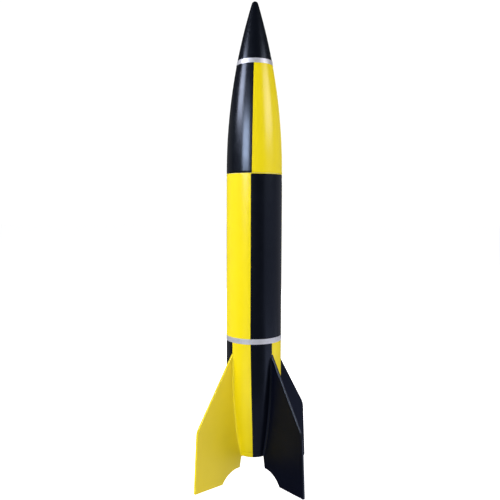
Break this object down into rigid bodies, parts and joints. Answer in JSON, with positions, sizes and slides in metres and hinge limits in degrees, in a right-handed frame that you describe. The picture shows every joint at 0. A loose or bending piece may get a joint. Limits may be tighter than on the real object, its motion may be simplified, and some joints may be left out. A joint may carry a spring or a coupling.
{
  "type": "model rocket",
  "caption": "Finned model rocket with an ogive nose that pulls off, a paper body tube, a curved tail with swept fins, a packed parachute and a retained motor.",
  "frame": {"origin": "on the ground under the body's axis, at the height of the four fin feet", "axes": "+Z along the body towards the nose tip; -Y towards the viewer, midway between the two front fins; the launch lugs are on the +Y side"},
  "size_m": [0.1272, 0.1272, 0.5668],
  "materials": {
    "nose_paint": "satin",
    "tube_paint": "satin",
    "tail_paint": "satin",
    "fin_yellow": "satin",
    "fin_black": "satin",
    "lug_black": "satin",
    "silver_foil": "satin",
    "white_plastic": "satin",
    "zinc_steel": "satin",
    "kraft_card": "matte",
    "plywood": "matte",
    "retainer_plastic": "satin",
    "clay": "matte",
    "powder": "matte",
    "chute_nylon": "matte"
  },
  "bodies": {
    "nose": {"nose_cone": "nose_paint", "nose_shoulder": "white_plastic", "nose_weight": "clay", "nose_band": "silver_foil", "nose_eye_bolt": "zinc_steel", "nose_eye_washer": "zinc_steel", "nose_eye_nut": "zinc_steel"},
    "airframe": {"body_tube": "tube_paint", "tail_coupler": "kraft_card", "tail_band": "silver_foil", "boattail": "tail_paint", "tail_ring": "tail_paint", "fin_front_left": "fin_yellow", "fin_front_right": "fin_black", "fin_rear_right": "fin_black", "fin_rear_left": "fin_yellow", "launch_lug_lower": "lug_black", "launch_lug_upper": "lug_black", "motor_tube": "kraft_card", "thrust_ring": "kraft_card", "aft_centering_ring": "plywood", "middle_centering_ring": "plywood", "forward_centering_ring": "plywood", "retainer_base": "retainer_plastic", "anchor_eye_bolt": "zinc_steel", "anchor_eye_washer": "zinc_steel", "anchor_eye_nut": "zinc_steel"},
    "parachute": {"parachute_pack": "chute_nylon"},
    "cap": {"retainer_cap": "retainer_plastic"},
    "motor": {"motor_case": "kraft_card", "motor_nozzle": "clay", "propellant_grain": "powder", "delay_element": "powder", "ejection_charge": "powder", "motor_end_cap": "clay"}
  },
  "joints": [
    {"name": "nose_slide", "type": "slide", "parent": "airframe", "child": "nose", "axis": [0, 0, 1], "range_m": [0, 0.12]},
    {"name": "parachute_slide", "type": "slide", "parent": "airframe", "child": "parachute", "axis": [0, 0, 1], "range_m": [0, 0.072]},
    {"name": "motor_slide", "type": "slide", "parent": "airframe", "child": "motor", "axis": [0, 0, -1], "range_m": [0, 0.096]},
    {"name": "cap_slide", "type": "slide", "parent": "airframe", "child": "cap", "axis": [0, 0, -1], "range_m": [0, 0.12]}
  ],
  "couplings": [
    {"joint": "parachute_slide", "follows": "nose_slide", "ratio": 0.6},
    {"joint": "cap_slide", "follows": "motor_slide", "ratio": 1.25}
  ]
}
